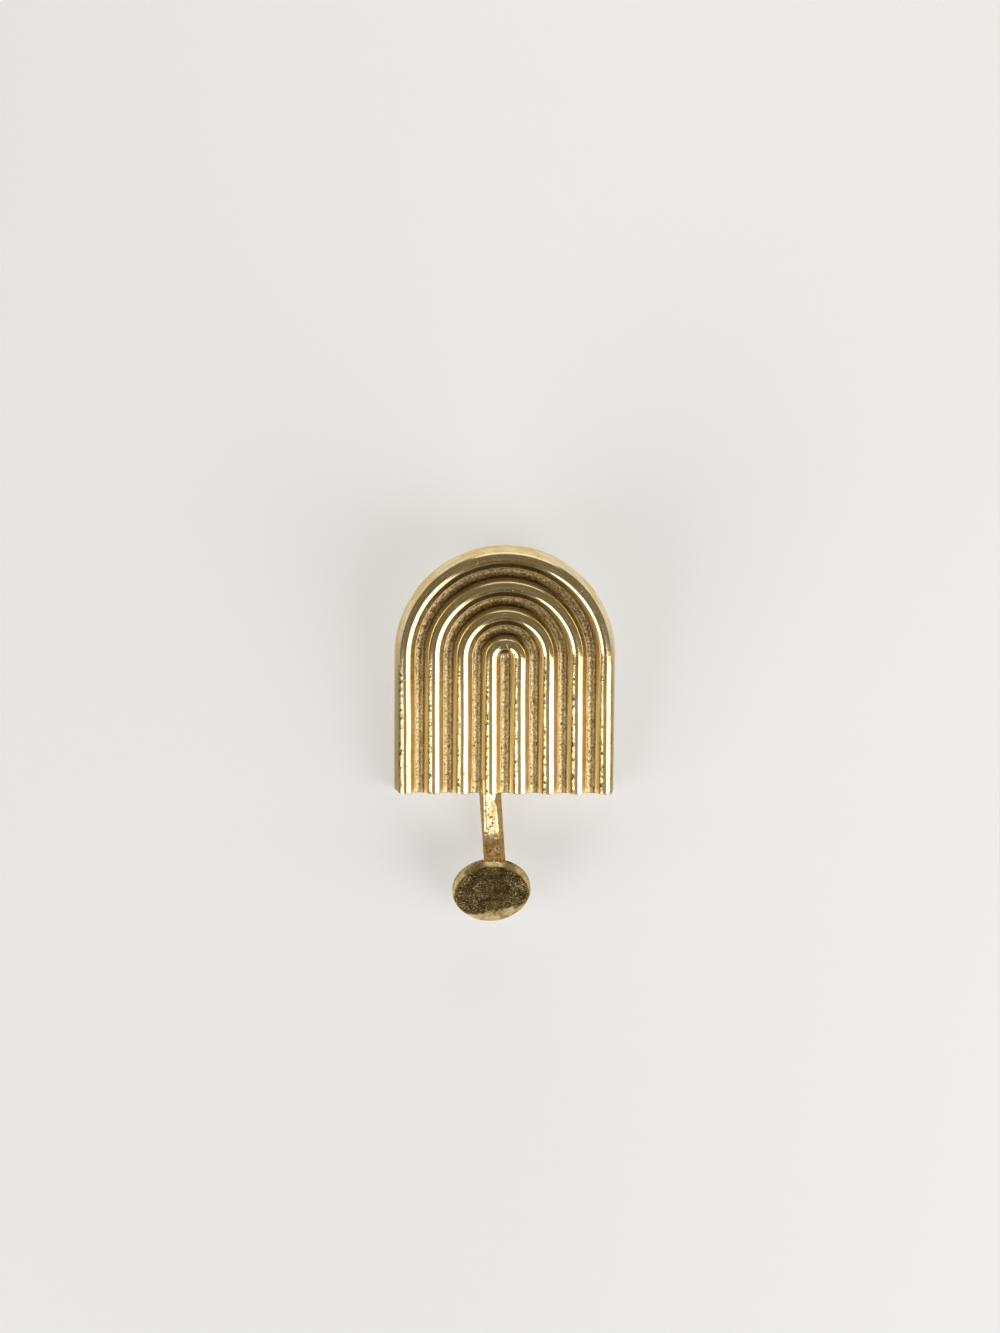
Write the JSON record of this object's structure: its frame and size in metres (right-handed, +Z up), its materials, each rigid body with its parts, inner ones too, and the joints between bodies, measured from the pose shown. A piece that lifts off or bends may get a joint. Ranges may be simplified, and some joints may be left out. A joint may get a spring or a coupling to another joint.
{
  "type": "wall hook",
  "caption": "Cast brass wall hook: an arch-shaped plate with nested reeds, and a short shank that bends forward below it and ends in a thick round disc.",
  "frame": {"origin": "mouth of the upper fixing hole, in the flat back behind the centre of the arch", "axes": "+Y into the wall, -Y towards the room, +Z up towards the top of the arch, +X to the right as seen from the room"},
  "size_m": [0.0598, 0.0264, 0.1],
  "materials": {
    "cast_brass": "hand polished casting"
  },
  "bodies": {
    "root": {"cast_hook": "cast_brass"}
  },
  "joints": []
}
